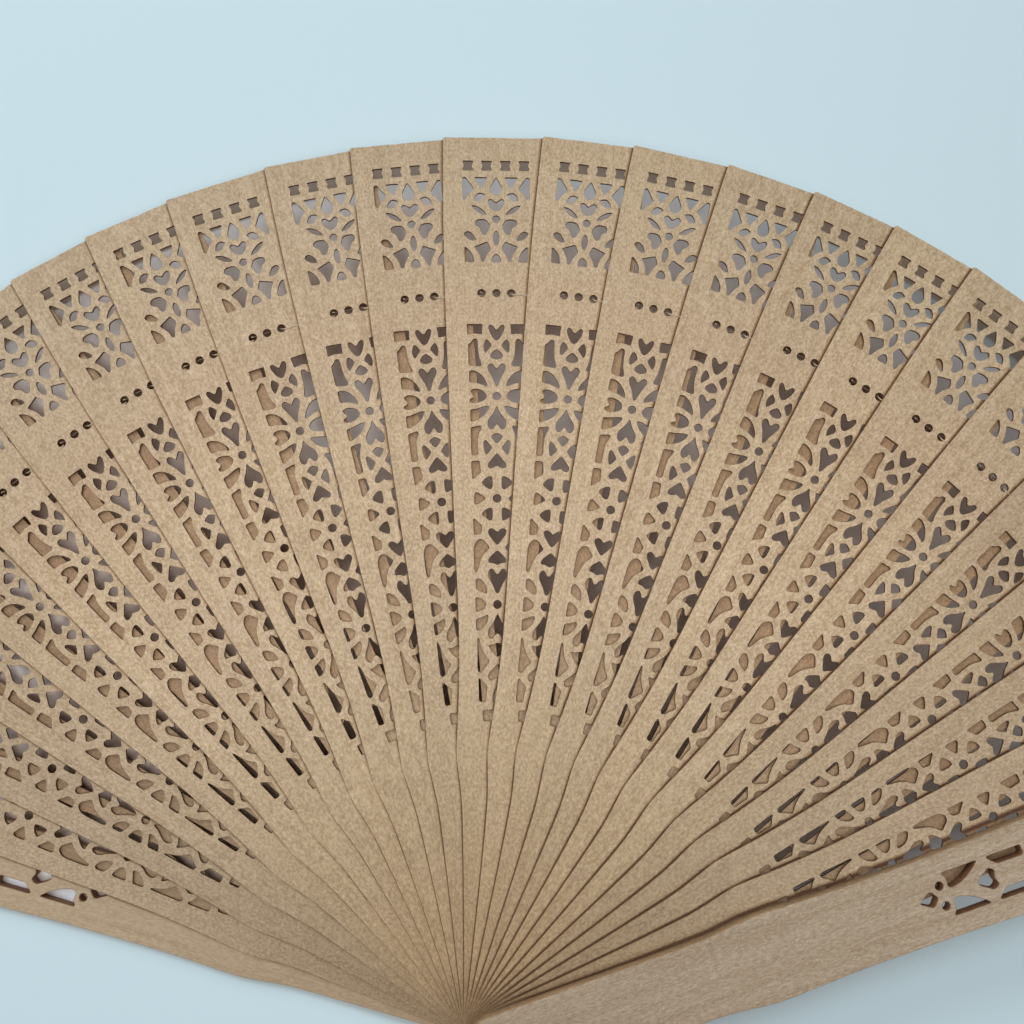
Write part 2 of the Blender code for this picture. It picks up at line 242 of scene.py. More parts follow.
# The light: each lamp's direction round the fan's middle, clockwise from +Y, its height in
# degrees, its distance, its width, its share of the light there, and its colour.
LIGHT_MIDDLE = (0.0, 0.09, 0.0)
LAMPS = (
    ("overhead_lamp", 0, 90, 0.70, 0.3, 0.125, (0.95, 0.935, 0.895)),
    ("near_right_lamp", 135, 65, 1.10, 0.4, 0.225, (0.95, 0.935, 0.895)),
    ("far_left_lamp", -45, 65, 1.10, 0.4, 0.20, (0.93, 0.945, 0.925)),
    ("low_far_left_lamp", -45, 40, 1.10, 0.4, 0.14, (0.92, 0.945, 0.945)),
    ("low_far_lamp", 0, 40, 0.80, 0.35, 0.10, (0.93, 0.945, 0.925)),
    ("near_left_lamp", -135, 65, 1.10, 0.4, 0.125, (0.95, 0.945, 0.925)),
)
WORLD_COLOUR = (1.0, 0.92, 0.82, 1.0)
WORLD_STRENGTH = 0.055

# Half widths up a blade and up a guard. Each kind of stick has its widths, the radius of its
# round end and its eased edge.
BLADE_WIDTHS = (
    (12, 7.05), (20, 7.1), (30, 7.2), (41, 7.42), (45, 7.65), (48, 7.98), (51, 8.4), (54, 8.72),
    (58, 8.6), (64, 8.34), (72, 8.2), (80, 8.3), (89, 8.65), (100, 9.2), (115, 9.88), (130, 10.55),
    (145, 11.22), (158, 11.72), (172, 12.08), (184, 12.22), (192.4, 12.28),
)
GUARD_WIDTHS = (
    (12, 6.98), (20, 7.0), (30, 7.02), (41, 7.1), (46, 7.35), (50, 7.8), (54, 8.15), (58, 8.1),
    (64, 7.88), (72, 7.7), (88, 7.78), (105, 8.25), (125, 9.2), (145, 10.1), (162, 10.78),
    (180, 11.1), (192.3, 11.25),
)
RIM = 193.0
ROOT_STEPS = 14
BLADE_ROOT = 7.05
GUARD_ROOT = 6.95
STICK_KINDS = {
    "blade": (BLADE_WIDTHS, BLADE_ROOT, BLADE_EDGE),
    "guard": (GUARD_WIDTHS, GUARD_ROOT, GUARD_EDGE),
}

# The rim's corners, across and down, and its nicks: how many parts they make, how far they
# stray from even parts, how deep they go, and how wide and how far down each one starts.
RIM_CORNER = 0.42
RIM_CORNER_DROP = 0.336
RIM_PARTS = 9
RIM_NICK = 0.13
NICK_STRAY = 0.03
NICK_WIDTH = 0.28
NICK_START = 0.2

# The openings of a blade. One that isn't in the middle is cut on both sides, and one that
# starts or ends on the middle line is half of a figure.
SQUARE_OUTER = (
    (5.22, 187.25), (7.74, 187.25), (7.66, 186.75), (7.4, 186.2), (7.46, 185.7), (7.68, 185.2),
    (7.6, 184.8), (5.36, 184.8), (5.32, 185.2), (5.54, 185.7), (5.6, 186.2), (5.32, 186.75),
)
SQUARE_INNER = (
    (0.9, 187.25), (3.42, 187.25), (3.34, 186.75), (3.08, 186.2), (3.14, 185.7), (3.36, 185.2),
    (3.28, 184.8), (1.04, 184.8), (1.0, 185.2), (1.22, 185.7), (1.28, 186.2), (1.0, 186.75),
)
SIDE_TRIANGLE = (
    (7.05, 183.25), (7.75, 183.1), (7.78, 177.9), (7.2, 177.5), (6.35, 179.0), (5.05, 180.35),
)
FALLING_TRIANGLE = (
    (1.9, 183.2), (5.1, 183.2), (4.3, 181.8), (3.6, 180.45), (3.15, 180.45), (2.6, 181.8),
)
TOP_DROP = ((0, 183.3), (0.75, 182.0), (1.42, 180.7), (1.25, 179.5), (0.65, 178.85), (0, 178.75))
UPPER_LEAF = (
    (5.2, 177.4), (4.85, 178.65), (4.0, 179.4), (2.95, 179.25), (2.4, 178.75), (3.2, 178.1),
    (3.6, 177.3), (4.5, 177.3),
)
LOWER_LEAF = (
    (5.7, 176.35), (4.6, 176.2), (3.4, 175.5), (2.5, 174.6), (2.1, 173.95), (2.9, 174.0),
    (3.9, 174.4), (4.9, 175.2), (5.5, 175.9),
)
WIDE_HEART = (
    (0, 177.0), (0.45, 177.35), (1.0, 177.85), (1.6, 177.85), (1.95, 177.3), (1.78, 176.5),
    (1.25, 175.6), (0.6, 175.0), (0, 174.8),
)
KIDNEY = (
    (2.1, 172.75), (3.4, 172.98), (4.5, 172.8), (4.88, 172.1), (4.7, 171.35), (3.9, 171.0),
    (3.55, 170.5), (3.45, 169.7), (3.0, 169.1), (2.4, 169.2), (1.95, 169.8), (1.6, 170.6),
    (1.3, 171.25), (1.7, 171.9),
)
SIDE_DROP = (
    (4.5, 167.8), (5.05, 168.9), (5.7, 169.7), (6.4, 170.02), (7.05, 169.85), (7.42, 169.25),
    (6.95, 168.6), (6.2, 168.0), (5.3, 167.7),
)
MIDDLE_LENS = ((0, 170.35), (0.5, 169.6), (0.78, 168.4), (0.55, 167.1), (0, 166.3))
VASE = (
    (2.0, 167.6), (3.3, 167.0), (5.05, 166.3), (4.2, 165.1), (3.65, 164.0), (3.42, 162.6),
    (2.75, 162.6), (2.5, 163.5), (1.85, 164.8), (1.15, 165.75), (1.6, 166.6),
)
CORNER_QUARTER = (
    (7.3, 166.3), (6.6, 165.95), (5.85, 165.1), (5.2, 164.0), (4.95, 162.55), (7.1, 162.55),
)
SMALL_DOME = ((0, 164.65), (0.62, 164.2), (1.08, 163.4), (1.1, 162.5), (0, 162.5))
END_BAR = ((3.15, 147.9), (6.68, 147.9), (6.6, 145.4), (5.0, 145.72), (3.25, 145.5))
TOP_HEART = (
    (0, 146.45), (0.5, 147.0), (0.95, 147.65), (1.5, 147.82), (1.86, 147.3), (1.62, 146.2),
    (1.12, 145.2), (0.58, 144.35), (0, 144.05),
)
STEPPED_BAR = (
    (6.38, 143.2), (5.78, 143.5), (5.4, 144.2), (4.9, 144.55), (4.35, 144.3), (4.2, 143.5),
    (4.15, 141.8), (3.85, 140.0), (3.25, 138.4), (3.7, 138.0), (6.25, 138.25),
)
CROSS_LEAF_HIGH = (
    (2.35, 144.5), (1.6, 143.8), (1.05, 142.9), (1.9, 141.8), (2.55, 141.0), (2.95, 142.2),
    (2.88, 143.4),
)
MIDDLE_DIAMOND = (
    (0, 142.1), (0.65, 141.6), (1.4, 140.85), (1.35, 140.1), (0.7, 139.8), (0, 139.6),
)
TAILED_HEART = (
    (0, 137.45), (0.45, 138.0), (0.9, 138.6), (1.4, 138.78), (1.95, 138.4), (2.05, 137.6),
    (1.7, 136.8), (1.22, 136.0), (0.82, 135.1), (0.5, 134.1), (0.25, 133.5), (0, 133.3),
)
FLOWER_LEAF_HIGH = (
    (6.15, 137.1), (5.0, 137.12), (3.7, 136.4), (2.7, 135.2), (2.05, 133.9), (2.15, 133.3),
    (3.0, 133.75), (4.4, 134.25), (6.12, 134.4),
)
HEART_PETAL = (
    (5.95, 132.35), (5.3, 132.92), (4.1, 132.88), (2.9, 132.4), (2.25, 131.6), (2.25, 130.8),
    (2.95, 130.15), (4.2, 129.68), (5.3, 129.55), (6.08, 129.95), (6.05, 130.5), (5.35, 130.75),
    (5.12, 131.15), (5.4, 131.6),
)
FLOWER_LEAF_LOW = (
    (5.9, 128.15), (4.6, 128.3), (3.2, 128.75), (2.1, 129.0), (1.55, 128.85), (1.9, 128.0),
    (2.6, 127.0), (3.6, 126.2), (4.8, 125.6), (5.8, 125.3),
)
RISING_HEART = (
    (0, 129.1), (0.35, 128.2), (0.62, 127.6), (1.12, 126.9), (1.7, 126.2), (2.08, 125.3),
    (2.0, 124.3), (1.5, 123.6), (0.8, 123.7), (0.45, 124.35), (0, 124.95),
)
LONG_BAR = (
    (5.78, 124.15), (4.6, 124.3), (3.7, 124.6), (3.35, 124.25), (3.55, 123.6), (3.95, 122.8),
    (4.17, 121.6), (4.17, 119.6), (4.05, 118.3), (4.35, 117.75), (5.6, 117.75),
)
FALLING_DOME = (
    (0, 122.88), (0.6, 122.62), (1.3, 122.15), (1.15, 121.7), (0.6, 121.0), (0, 120.35),
)
CROSS_LEAF_LOW = (
    (2.95, 121.05), (2.5, 121.3), (1.9, 120.7), (1.5, 120.1), (0.98, 119.55), (1.5, 118.85),
    (2.1, 118.05), (2.45, 117.9), (2.78, 118.7), (2.98, 119.9),
)
BROAD_HEART = (
    (0, 118.3), (0.5, 117.8), (1.12, 117.0), (1.8, 116.2), (2.08, 115.6), (1.88, 115.0),
    (1.2, 114.82), (0.5, 115.15), (0, 115.5),
)
SIDE_QUAD = (
    (5.68, 116.55), (3.85, 116.6), (3.72, 115.5), (3.45, 113.9), (4.3, 113.3), (5.4, 112.35),
)
PETAL_HIGH = (
    (3.5, 111.55), (2.7, 112.6), (1.7, 113.15), (1.02, 113.05), (0.98, 112.0), (1.0, 110.9),
    (1.25, 110.2), (1.8, 110.3), (2.6, 110.8),
)
PETAL_SIDE = (
    (4.95, 109.35), (4.4, 109.68), (3.7, 109.2), (3.0, 108.75), (2.35, 108.15), (3.2, 107.5),
    (4.1, 107.0), (4.85, 106.75), (5.02, 107.4),
)
PETAL_LOW = (
    (3.48, 104.7), (2.95, 105.35), (2.3, 105.9), (1.5, 106.2), (1.02, 106.05), (0.98, 105.0),
    (1.0, 103.8), (1.28, 103.25), (1.9, 103.5), (2.7, 104.0),
)
LOWER_QUAD = (
    (5.22, 103.75), (4.75, 103.65), (4.1, 102.9), (3.2, 102.1), (3.35, 101.2), (3.5, 100.4),
    (5.1, 100.1),
)
MIDDLE_HEART = (
    (0, 100.72), (0.5, 101.2), (1.0, 101.62), (1.6, 101.58), (2.03, 101.1), (1.95, 100.4),
    (1.4, 99.6), (0.8, 98.8), (0.32, 98.2), (0, 98.0),
)
LARGE_DROP = (
    (4.55, 98.75), (4.15, 99.2), (3.5, 99.28), (2.9, 99.0), (2.5, 98.4), (2.0, 97.9), (1.62, 97.4),
    (2.1, 96.8), (2.9, 96.0), (3.5, 94.9), (3.9, 93.6), (4.2, 92.35), (4.6, 91.95), (4.97, 92.5),
    (5.05, 94.5), (5.12, 97.0), (4.95, 98.1),
)
SCALLOPED_DOME = (
    (0, 96.85), (0.6, 96.3), (1.4, 95.6), (1.92, 94.9), (1.98, 94.15), (1.3, 94.05), (0.85, 94.1),
    (0.45, 93.8), (0, 93.6),
)
NOTCHED_HEART = (
    (0, 91.55), (0.42, 91.85), (0.68, 92.45), (1.1, 92.88), (1.62, 92.72), (1.98, 92.1),
    (2.02, 91.1), (1.62, 90.3), (1.12, 89.5), (0.7, 88.6), (0.42, 87.75), (0, 87.45),
)
THIRD_PETAL_HIGH = (
    (4.72, 90.4), (4.25, 90.8), (3.6, 90.5), (2.8, 89.8), (2.32, 88.9), (2.2, 88.0), (2.25, 87.4),
    (3.2, 87.7), (4.0, 88.1), (4.65, 88.55),
)
THIRD_PETAL_SIDE = (
    (4.78, 86.4), (4.45, 86.8), (3.6, 86.4), (2.8, 85.9), (2.4, 85.4), (2.4, 84.9), (2.75, 84.3),
    (3.5, 83.9), (4.65, 83.45),
)
THIRD_PETAL_LOW = (
    (4.62, 82.0), (3.3, 82.4), (2.5, 82.85), (2.0, 82.85), (1.95, 82.2), (2.2, 81.3), (2.8, 80.4),
    (3.6, 79.8), (4.5, 79.4),
)
RISING_NOTCHED_HEART = (
    (0, 83.15), (0.35, 82.6), (0.6, 81.8), (1.12, 81.0), (1.8, 80.1), (2.12, 79.1), (1.95, 78.2),
    (1.4, 77.72), (0.82, 78.0), (0.55, 78.6), (0, 79.0),
)
FIN = (
    (4.32, 77.95), (3.98, 78.05), (3.75, 77.2), (3.4, 75.9), (2.8, 74.6), (2.1, 73.7),
    (1.62, 73.05), (2.5, 72.0), (3.1, 71.1), (3.6, 70.65), (4.15, 70.85), (4.28, 71.5),
)
WAVY_DOME = (
    (0, 76.98), (0.5, 76.85), (1.1, 76.5), (2.02, 76.62), (1.7, 75.9), (0.9, 74.8), (0, 73.85),
)
LOW_HEART = (
    (0, 72.6), (0.6, 71.95), (1.3, 71.2), (1.9, 70.6), (2.12, 69.9), (1.82, 69.2), (1.3, 69.02),
    (0.7, 69.35), (0, 69.88),
)
LOW_QUAD = (
    (4.1, 69.4), (3.7, 69.5), (3.3, 68.9), (2.4, 68.2), (2.15, 67.8), (2.35, 66.6), (2.5, 64.6),
    (3.95, 64.6),
)
ARCH = ((0, 67.9), (0.52, 67.4), (0.92, 66.6), (1.12, 65.5), (1.1, 64.45), (0, 64.45))
FOOT_BAR = ((0, 62.98), (3.22, 62.98), (3.1, 60.6), (0, 60.6))

MIDDLE_FIGURES = (
    TOP_DROP, WIDE_HEART, MIDDLE_LENS, SMALL_DOME, TOP_HEART, MIDDLE_DIAMOND, TAILED_HEART,
    RISING_HEART, FALLING_DOME, BROAD_HEART, MIDDLE_HEART, SCALLOPED_DOME, NOTCHED_HEART,
    RISING_NOTCHED_HEART, WAVY_DOME, LOW_HEART, ARCH, FOOT_BAR,
)
SIDE_FIGURES = (
    SIDE_TRIANGLE, FALLING_TRIANGLE, UPPER_LEAF, LOWER_LEAF, KIDNEY, SIDE_DROP, VASE,
    CORNER_QUARTER, STEPPED_BAR, CROSS_LEAF_HIGH, FLOWER_LEAF_HIGH, HEART_PETAL, FLOWER_LEAF_LOW,
    LONG_BAR, CROSS_LEAF_LOW, SIDE_QUAD, PETAL_HIGH, PETAL_SIDE, PETAL_LOW, LOWER_QUAD, LARGE_DROP,
    THIRD_PETAL_HIGH, THIRD_PETAL_SIDE, THIRD_PETAL_LOW, FIN, LOW_QUAD,
)
CRISP_FIGURES = (SQUARE_OUTER, SQUARE_INNER, END_BAR)
FLOWER_EYES = ((172.95, 0.9), (131.2, 0.93), (108.2, 0.95), (85.1, 0.93))
TOP_PANEL_FOOT = 160.0

# The openings of a guard: one end of its long panel, which is the same at both ends.
GUARD_KITE = ((0, 90.3), (0.7, 89.7), (1.6, 88.9), (1.0, 87.8), (0.4, 86.8), (0, 86.4))
GUARD_HEART = (
    (0, 102.4), (0.5, 102.5), (1.1, 102.85), (1.5, 102.75), (2.03, 101.9), (1.9, 101.3),
    (1.3, 100.3), (0.6, 99.2), (0, 98.8),
)
GUARD_LEAF = (
    (4.2, 100.2), (3.2, 99.0), (2.3, 97.6), (1.5, 96.0), (1.05, 94.4), (1.0, 93.3), (1.4, 92.85),
    (2.6, 93.1), (3.35, 92.9), (3.7, 92.4), (4.2, 92.4),
)
GUARD_SLOT = ((4.25, 102.2), (3.85, 102.2), (2.35, 103.9), (2.3, 109.6), (4.3, 109.6))
GUARD_EYE = (1.95, 91.2, 0.85)
GUARD_TOP_SHARE = 0.9
GUARD_PANEL_MIDDLE = 117.0
GUARD_FLOWER_SHARE = 0.86
GUARD_FLOWER = (PETAL_HIGH, PETAL_SIDE, PETAL_LOW)
FLOWER_MIDDLE = 108.2


def tint(red, green, blue):
    """A colour as seen on a screen, 0 to 255, made ready for a material."""
    return (*[(value / 255) ** SCREEN_GAMMA for value in (red, green, blue)], 1.0)


def smooth(share):
    """A share from 0 to 1 that leaves and arrives gently."""
    return share * share * (3 - 2 * share)


def rounded(outline, cut):
    """The outline with each corner rounded as a fine saw leaves it."""
    points = []
    corners = [Vector(corner) for corner in outline]
    for before, corner, after in zip(corners[-1:] + corners, corners, corners[1:] + corners[:1]):
        back = before - corner
        ahead = after - corner
        start = corner + back * min(cut / back.length, CORNER_SHARE)
        end = corner + ahead * min(cut / ahead.length, CORNER_SHARE)
        for step in range(ARC_STEPS):
            share = step / (ARC_STEPS - 1)
            points.append(start.lerp(corner, share).lerp(corner.lerp(end, share), share))
    return points


def circle(across, along, radius, steps=ROUND_STEPS):
    turns = [2 * pi * step / steps for step in range(steps)]
    return [Vector((across + radius * cos(turn), along + radius * sin(turn))) for turn in turns]


def flipped(outline):
    """The same outline on the other side of the middle line."""
    return [(-across, along) for across, along in reversed(outline)]


def whole(half):
    """A figure on the middle line, from the half of it on the right."""
    left = [(-across, along) for across, along in reversed(half) if across > 0]
    return list(half) + left


def both_sides(outlines):
    return [side for outline in outlines for side in (list(outline), flipped(outline))]


def thread_holes():
    return [circle(across, HOLE_ROW, HOLE_RADIUS) for across in (-HOLE_SPACING, 0.0, HOLE_SPACING)]


def blade_openings():
    """All the openings of a blade, rounded."""
    outlines = [rounded(outline, CORNER_CUT) for outline in both_sides(SIDE_FIGURES)]
    outlines += [rounded(whole(half), CORNER_CUT) for half in MIDDLE_FIGURES]
    outlines += [rounded(outline, CRISP_CUT) for outline in both_sides(CRISP_FIGURES)]
    outlines += [circle(0.0, along, radius) for along, radius in FLOWER_EYES]
    return outlines + thread_holes()


def guard_openings():
    """A guard has the blade's top panel, made narrower, and a panel of its own below it."""
    top = []
    for outline in blade_openings():
        if min(point.y for point in outline) > TOP_PANEL_FOOT:
            top.append([Vector((point.x * GUARD_TOP_SHARE, point.y)) for point in outline])
    end = [rounded(outline, CORNER_CUT) for outline in both_sides((GUARD_LEAF, GUARD_SLOT))]
    end += [rounded(whole(half), CORNER_CUT) for half in (GUARD_KITE, GUARD_HEART)]
    across, along, radius = GUARD_EYE
    end += [circle(side * across, along, radius) for side in (1, -1)]
    other_end = [[Vector((p.x, 2 * GUARD_PANEL_MIDDLE - p.y)) for p in outline] for outline in end]
    flower = [rounded(outline, CORNER_CUT) for outline in both_sides(GUARD_FLOWER)]
    flower.append(circle(0.0, FLOWER_MIDDLE, radius))
    middle = []
    for outline in flower:
        centred = [(p - Vector((0.0, FLOWER_MIDDLE))) * GUARD_FLOWER_SHARE for p in outline]
        middle.append([p + Vector((0.0, GUARD_PANEL_MIDDLE)) for p in centred])
    return top + end + other_end + middle + thread_holes()


def side_edge(widths):
    """The right side of a stick from the rivet end to the rim, as a smooth run of points."""
    places = [Vector((half, along)) for along, half in widths]
    points = []
    for index in range(len(places) - 1):
        before = places[max(index - 1, 0)]
        start = places[index]
        end = places[index + 1]
        after = places[min(index + 2, len(places) - 1)]
        for share in (0.0, 0.5):
            out = (end - before) / 2 * (1 - share)
            into = (after - start) / 2 * share
            bend = (out - into) * share * (1 - share)
            points.append(start.lerp(end, smooth(share)) + bend)
    return points + [places[-1]]


def rim_edge(half, dice):
    """The rim from right to left: corners just off square, and the small nicks of the saw."""
    points = [Vector((half, RIM - RIM_CORNER_DROP)), Vector((half - RIM_CORNER, RIM))]
    for part in range(1, RIM_PARTS):
        share = part / RIM_PARTS + dice.uniform(-NICK_STRAY, NICK_STRAY)
        across = half - 2 * half * share
        depth = dice.uniform(0.0, RIM_NICK)
        points.append(Vector((across + NICK_WIDTH, RIM - depth * NICK_START)))
        points.append(Vector((across, RIM - depth)))
    points.append(Vector((RIM_CORNER - half, RIM)))
    points.append(Vector((-half, RIM - RIM_CORNER_DROP)))
    return points


def stick_outline(widths, root_radius, dice):
    right = side_edge(widths)
    rim = rim_edge(widths[-1][1], dice)
    left = [Vector((-point.x, point.y)) for point in reversed(right)]
    turns = [pi + pi * step / ROOT_STEPS for step in range(ROOT_STEPS + 1)]
    root = [Vector((root_radius * cos(turn), root_radius * sin(turn))) for turn in turns]
    return right + rim + left + root


def clean(mesh):
    """The mesh with its doubles merged and its faces pointing outwards."""
    shape = bmesh.new()
    shape.from_mesh(mesh)
    bmesh.ops.remove_doubles(shape, verts=shape.verts, dist=MERGE)
    bmesh.ops.recalc_face_normals(shape, faces=shape.faces)
    shape.to_mesh(mesh)
    shape.free()
    return mesh


def drawn(name, dimensions, runs, closed):
    """A curve of straight runs through points in millimetres."""
    curve = bpy.data.curves.new(name, "CURVE")
    curve.dimensions = dimensions
    for run in runs:
        spline = curve.splines.new("POLY")
        spline.points.add(len(run) - 1)
        for point, place in zip(spline.points, run):
            metres = [value * MM for value in place] + [0.0]
            point.co = (*metres[:3], 1.0)
        spline.use_cyclic_u = closed
    drawing = bpy.data.objects.new(name, curve)
    bpy.context.scene.collection.objects.link(drawing)
    return drawing


def made_mesh(drawing):
    """The mesh that a curve makes, which takes the curve's place."""
    bpy.context.view_layer.update()
    made = drawing.evaluated_get(bpy.context.evaluated_depsgraph_get())
    mesh = bpy.data.meshes.new_from_object(made)
    curve = drawing.data
    bpy.data.objects.remove(drawing)
    bpy.data.curves.remove(curve)
    return clean(mesh)


def flat_mesh(name, outlines, thickness, edge):
    """A sheet of wood with its openings, in metres, its edges eased, about its own middle."""
    drawing = drawn(name, "2D", outlines, True)
    curve = drawing.data
    curve.fill_mode = "BOTH"
    curve.bevel_depth = edge * MM
    curve.bevel_resolution = 0
    curve.extrude = thickness / 2 - edge * MM
    curve.offset = -edge * MM
    return made_mesh(drawing)


def body_of_node(node):
    for body, members in frame["record"]["behaviour"]["bodies"].items():
        if node in members:
            return body
    raise ValueError(node)


def new_piece(node, ending, mesh, finish, slot):
    """A finished piece that stands for its node and rides on the node's body."""
    piece = bpy.data.objects.new(f"{node}_{ending}", mesh)
    bpy.context.scene.collection.objects.link(piece)
    mesh.materials.clear()
    mesh.materials.append(finish)
    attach(piece, body_of_node(node))
    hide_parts(node)
    return piece


def stick_names():
    """The sticks from the back guard to the front guard, each one above the last."""
    blades = sorted(node for node in frame["nodes"] if node.startswith("blade"))
    return ["guard_back", *blades, "guard_front"]


def turn_of(stick):
    """How far a stick is turned from +Y, clockwise, from the far corners of its solid."""
    vertices = frame["nodes"][stick].data.vertices
    corners = [Vector(place) for place in {tuple(vertex.co.xy) for vertex in vertices}]
    reach = max(corner.length for corner in corners) - CORNER_SLACK * MM
    turns = [atan2(corner.x, corner.y) for corner in corners if corner.length > reach]
    return (min(turns) + max(turns)) / 2


def set_in_fan(mesh, stick, turn):
    """Moves a mesh from a stick's own frame to the stick's place in the open fan."""
    low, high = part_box(stick)
    raised = Matrix.Translation((0.0, 0.0, (low.z + high.z) / 2))
    mesh.transform(raised @ Matrix.Rotation(-turn, 4, "Z"))


def half_at(widths, along):
    """The half width of a stick at a place along it."""
    for (low, start), (high, end) in zip(widths, widths[1:]):
        if along < high:
            return start + (end - start) * max(along - low, 0.0) / (high - low)
    return widths[-1][1]


def on_outside(place, widths):
    """Whether a corner is on a stick's outer edge and not on one of its openings."""
    on_root = place.y < widths[0][0] and place.xy.length > ROOT_PAST
    on_rim = place.y > RIM - RIM_DEPTH
    return on_root or on_rim or abs(place.x) > SIDE_SHARE * half_at(widths, place.y)


def keep(mesh, name, kind, values):
    """Keeps a value for each point of a mesh, for its finish to read."""
    field = "vector" if kind == "FLOAT_VECTOR" else "value"
    for point, value in zip(mesh.attributes.new(name, kind, "POINT").data, values):
        setattr(point, field, value)


def keep_places(mesh, widths, jump, step):
    """Keeps each point's place in its own stick and in the next one, in millimetres."""
    places = [vertex.co / MM for vertex in mesh.vertices]
    beside = [NOTHING_BESIDE] * len(places)
    if step is not None:
        beside = [Matrix.Rotation(step, 3, "Z") @ place for place in places]
    keep(mesh, "stick_place", "FLOAT_VECTOR", [place + jump for place in places])
    keep(mesh, "next_place", "FLOAT_VECTOR", beside)
    keep(mesh, "outer_edge", "FLOAT", [float(on_outside(place, widths)) for place in places])


def painted_side_shade(turn):
    """How much painted shade darkens a blade's wood, as a factor, by how far it is turned from the
    middle.
    """
    low, high = SIDE_TURNS
    share = min(max((abs(turn) - low) / (high - low), 0.0), 1.0)
    return 1.0 - SIDE_PAINTED_SHADE * smooth(share)


class Wire:
    """One value in a material. Sums on it add Math nodes."""

    def __init__(self, finish, socket):
        self.finish = finish
        self.socket = socket

    def beside(self, output):
        """Another output of the same node."""
        return Wire(self.finish, self.socket.node.outputs[output])

    def sum(self, operation, first, second):
        return self.finish.add("Math", {"operation": operation}, {0: first, 1: second})

    def __add__(self, other):
        return self.sum("ADD", self, other)

    def __sub__(self, other):
        return self.sum("SUBTRACT", self, other)

    def __rsub__(self, other):
        return self.sum("SUBTRACT", other, self)

    def __mul__(self, other):
        return self.sum("MULTIPLY", self, other)

    __radd__ = __add__
    __rmul__ = __mul__


class Finish:
    """The nodes of a material or of the world, and the one way to add any node to them."""

    def __init__(self, owner, shader="Principled BSDF"):
        self.owner = owner
        self.owner.use_nodes = True
        self.tree = owner.node_tree
        self.shader = self.tree.nodes[shader]

    def feed(self, socket, value):
        if isinstance(value, Wire):
            self.tree.links.new(value.socket, socket)
        else:
            socket.default_value = value

    def add(self, kind, settings, inputs, output=0):
        """A node, its settings made first, then the values or links of its sockets."""
        node = self.tree.nodes.new("ShaderNode" + kind)
        for name, value in settings.items():
            if name == "stops":
                for share, colour in value[2:]:
                    node.color_ramp.elements.new(share)
                for stop, (share, colour) in zip(node.color_ramp.elements, value):
                    stop.position = share
                    stop.color = colour
            else:
                setattr(node, name, value)
        for name, value in inputs.items():
            self.feed(node.inputs[name], value)
        return Wire(self, node.outputs[output])

    def give(self, name, value):
        self.feed(self.shader.inputs[name], value)

    def kept(self, name, output):
        """What a mesh keeps for its points: output 1 for a place, 2 for a number."""
        return self.add("Attribute", {"attribute_name": name}, {}, output)

    def place(self, scale):
        """A place in the fan, from the rivet, in metres times a scale."""
        place = self.add("TexCoord", {}, {}, output=3)
        return self.add("VectorMath", {"operation": "MULTIPLY"}, {0: place, 1: (scale,) * 3})

    def length(self, vector):
        return self.add("VectorMath", {"operation": "LENGTH"}, {0: vector}, output=1)

    def noise(self, place, grain, detail, fineness=0.5):
        """Soft noise about 0.5, with its size set by how far the place is stretched."""
        spread = self.add("VectorMath", {"operation": "MULTIPLY"}, {0: place, 1: grain})
        inputs = {"Vector": spread, "Scale": 1.0, "Detail": detail, "Roughness": fineness}
        return self.add("TexNoise", {}, inputs)

    def step(self, value, low, high):
        """0 below low, 1 above high, smooth between."""
        inputs = {"Value": value, "From Min": low, "From Max": high}
        return self.add("MapRange", {"interpolation_type": "SMOOTHSTEP"}, inputs)

    def ramp(self, value, stops):
        return self.add("ValToRGB", {"stops": stops}, {0: value})

    def mix(self, share, first, second, blend="MIX"):
        settings = {"data_type": "RGBA", "blend_type": blend}
        return self.add("Mix", settings, {0: share, 6: first, 7: second}, output=2)

    def shade(self, colour, amount):
        """The colour made lighter or darker by an amount about 1."""
        grey = self.add("CombineColor", {}, {0: amount, 1: amount, 2: amount})
        return self.mix(1.0, colour, grey, "MULTIPLY")

    def bump(self, height, strength, relief):
        inputs = {"Strength": strength, "Distance": relief, "Height": height}
        self.give("Normal", self.add("Bump", {}, inputs))

    def shown(self):
        """1 to what shows a thing, itself, mirrored or through glass, and 0 to what it lights."""
        camera = self.add("LightPath", {}, {})
        glossy = camera.beside("Is Glossy Ray")
        through = camera.beside("Is Transmission Ray")
        return camera.sum("MAXIMUM", camera.sum("MAXIMUM", camera, glossy), through)


def new_finish(name):
    return Finish(bpy.data.materials.new(name))


